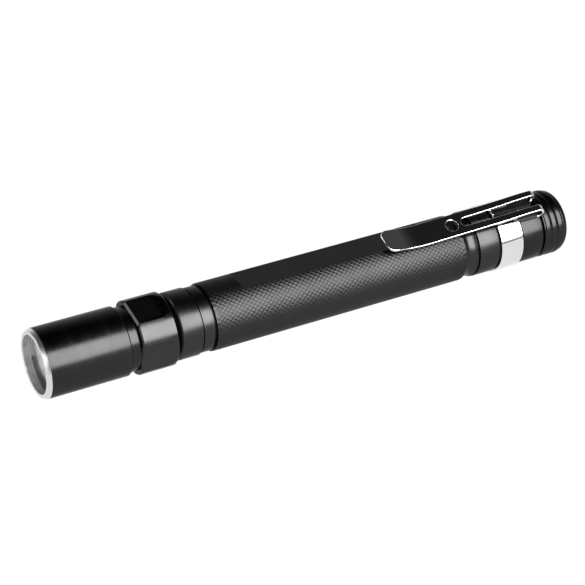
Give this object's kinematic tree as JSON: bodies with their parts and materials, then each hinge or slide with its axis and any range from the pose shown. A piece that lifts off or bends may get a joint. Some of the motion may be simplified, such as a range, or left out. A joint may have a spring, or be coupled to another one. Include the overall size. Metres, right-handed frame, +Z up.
{
  "type": "penlight",
  "caption": "Slim black metal penlight with a knurled tube, bright bezel, flatted collar, sprung pocket clip and a screw-on tail cap with a push button.",
  "frame": {"origin": "centre of the bounding box at the height of the surface that the light lies on", "axes": "+X from the lens to the tail along the light, +Z up through the smooth flat on the tube"},
  "size_m": [0.1292, 0.016, 0.0181],
  "materials": {
    "black_anodized": "black anodized, satin",
    "bright_aluminium": "bare bright-cut",
    "chrome_clip": "polished chrome on spring steel",
    "clear_lens": "clear",
    "reflector_mirror": "satin metal coating",
    "black_rubber": "matte",
    "brass_parts": "turned",
    "spring_steel": "plated wire",
    "circuit_board": "solder mask",
    "white_board": "white solder mask on metal",
    "white_plastic": "moulded",
    "led_phosphor": "clear over yellow",
    "lead_insulation": "insulated wire",
    "cell_jacket": "plain jacket",
    "red_plastic": "moulded"
  },
  "bodies": {
    "light": {"bezel_ring": "bright_aluminium", "lens": "clear_lens", "lens_seal": "black_rubber", "reflector": "reflector_mirror", "led_emitter": "led_phosphor", "centring_gasket": "white_plastic", "led_board": "white_board", "heat_pill": "brass_parts", "led_leads": "lead_insulation", "driver_board": "circuit_board", "head_barrel": "black_anodized", "front_spring": "spring_steel", "neck_seal": "black_rubber", "body_tube": "black_anodized", "front_cell": "cell_jacket", "rear_cell": "cell_jacket", "tail_seal": "black_rubber"},
    "clip_ring": {"clip_band": "chrome_clip"},
    "clip_spring": {"clip_arm": "chrome_clip"},
    "cap_carrier": {"tail_spring": "spring_steel"},
    "cap": {"tail_cap": "black_anodized", "retaining_ring": "brass_parts", "contact_board": "circuit_board", "switch_housing": "white_plastic", "switch_spring": "spring_steel"},
    "button": {"tail_button": "black_rubber", "switch_plunger": "red_plastic"}
  },
  "joints": [
    {"name": "clip_swivel", "type": "hinge", "parent": "light", "child": "clip_ring", "pos_m": [0.0481, 0, 0.00805], "axis": [1, 0, 0], "continuous": true},
    {"name": "clip_flex", "type": "hinge", "parent": "clip_ring", "child": "clip_spring", "pos_m": [0.05738, -0.00359, 0.01592], "axis": [0, 0.91, 0.4147], "range_deg": [0, 5], "stiffness_Nm_per_rad": 1, "springref_deg": -2.86},
    {"name": "cap_slide", "type": "slide", "parent": "light", "child": "cap_carrier", "axis": [1, 0, 0], "range_m": [0, 0.0046]},
    {"name": "cap_turn", "type": "hinge", "parent": "cap_carrier", "child": "cap", "pos_m": [0.0565, 0, 0.00805], "axis": [1, 0, 0], "range_deg": [0, 2160]},
    {"name": "button_press", "type": "slide", "parent": "cap", "child": "button", "axis": [-1, 0, 0], "range_m": [0, 0.0015], "stiffness_N_per_m": 600, "springref_m": -0.001, "deforming": ["switch_spring"]}
  ],
  "couplings": [
    {"joint": "cap_slide", "follows": "cap_turn", "m_per_rad": 0.00011937}
  ]
}
